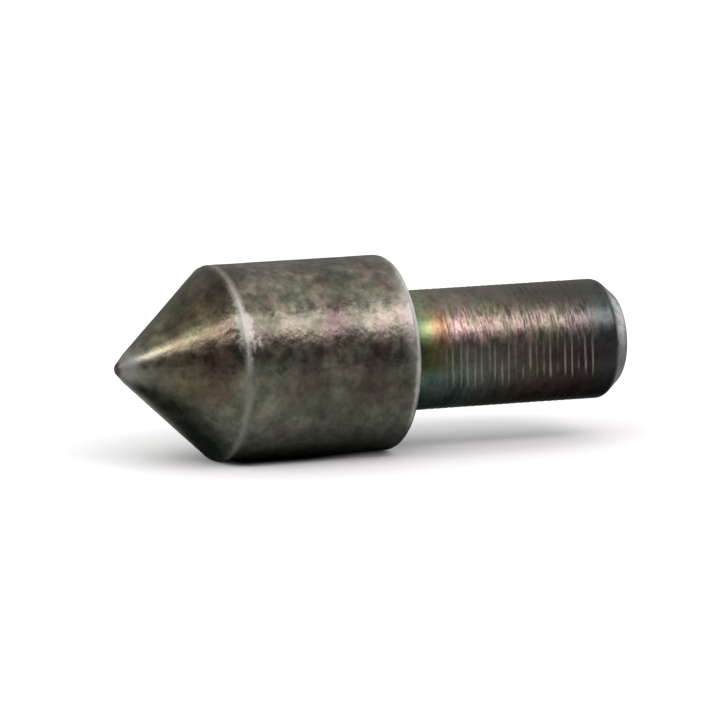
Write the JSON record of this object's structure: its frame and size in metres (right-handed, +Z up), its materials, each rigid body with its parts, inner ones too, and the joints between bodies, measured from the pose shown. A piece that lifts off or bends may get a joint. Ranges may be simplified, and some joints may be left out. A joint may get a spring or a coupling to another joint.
{
  "type": "live center",
  "caption": "Lathe live center: a coned steel head turns on hidden ball bearings around a fixed stud with a fine thread.",
  "frame": {"origin": "centre of the small flat on the point of the cone, on the spin axis", "axes": "+X runs along the spin axis from the point to the end of the stud; +Z is up when it lies on a bench or sits in a lathe"},
  "size_m": [0.0711, 0.026, 0.026],
  "materials": {
    "head_steel": "oxidised dark steel, mottled olive, brown and purple, with bright worn rims",
    "stud_steel": "oxidised steel with green, gold, pink and grey temper tints along its length",
    "race_steel": "ground bearing steel",
    "ball_steel": "polished bearing steel",
    "cage_brass": "satin brass",
    "spring_steel": "blued spring steel",
    "spacer_steel": "turned steel",
    "nut_steel": "blackened steel",
    "felt": "oiled wool felt"
  },
  "bodies": {
    "stud": {"fixed_stud": "stud_steel", "front_inner_ring": "race_steel", "rear_inner_ring": "race_steel", "inner_spacer": "spacer_steel", "circlip": "spring_steel", "thrust_shaft_washer": "race_steel"},
    "head": {"rotating_head": "head_steel", "thrust_housing_washer": "race_steel", "front_outer_ring": "race_steel", "rear_outer_ring": "race_steel", "outer_spacer": "spacer_steel", "wave_spring": "spring_steel", "retaining_nut": "nut_steel", "felt_seal": "felt"},
    "front_ball_set": {"front_cage": "cage_brass", "front_ball_1": "ball_steel", "front_ball_2": "ball_steel", "front_ball_3": "ball_steel", "front_ball_4": "ball_steel", "front_ball_5": "ball_steel", "front_ball_6": "ball_steel", "front_ball_7": "ball_steel", "front_ball_8": "ball_steel", "front_ball_9": "ball_steel", "front_ball_10": "ball_steel", "front_ball_11": "ball_steel"},
    "rear_ball_set": {"rear_cage": "cage_brass", "rear_ball_1": "ball_steel", "rear_ball_2": "ball_steel", "rear_ball_3": "ball_steel", "rear_ball_4": "ball_steel", "rear_ball_5": "ball_steel", "rear_ball_6": "ball_steel", "rear_ball_7": "ball_steel", "rear_ball_8": "ball_steel", "rear_ball_9": "ball_steel", "rear_ball_10": "ball_steel", "rear_ball_11": "ball_steel"},
    "thrust_ball_set": {"thrust_cage": "cage_brass", "thrust_ball_1": "ball_steel", "thrust_ball_2": "ball_steel", "thrust_ball_3": "ball_steel", "thrust_ball_4": "ball_steel", "thrust_ball_5": "ball_steel", "thrust_ball_6": "ball_steel", "thrust_ball_7": "ball_steel", "thrust_ball_8": "ball_steel", "thrust_ball_9": "ball_steel"}
  },
  "joints": [
    {"name": "head_spin", "type": "hinge", "parent": "stud", "child": "head", "pos_m": [0.0264, 0, 0], "axis": [1, 0, 0], "continuous": true},
    {"name": "front_ball_set_spin", "type": "hinge", "parent": "stud", "child": "front_ball_set", "pos_m": [0.0219, 0, 0], "axis": [1, 0, 0], "continuous": true},
    {"name": "rear_ball_set_spin", "type": "hinge", "parent": "stud", "child": "rear_ball_set", "pos_m": [0.0309, 0, 0], "axis": [1, 0, 0], "continuous": true},
    {"name": "thrust_ball_set_spin", "type": "hinge", "parent": "stud", "child": "thrust_ball_set", "pos_m": [0.015, 0, 0], "axis": [1, 0, 0], "continuous": true}
  ],
  "couplings": [
    {"joint": "front_ball_set_spin", "follows": "head_spin", "ratio": 0.5721},
    {"joint": "rear_ball_set_spin", "follows": "head_spin", "ratio": 0.5721},
    {"joint": "thrust_ball_set_spin", "follows": "head_spin", "ratio": 0.5}
  ]
}
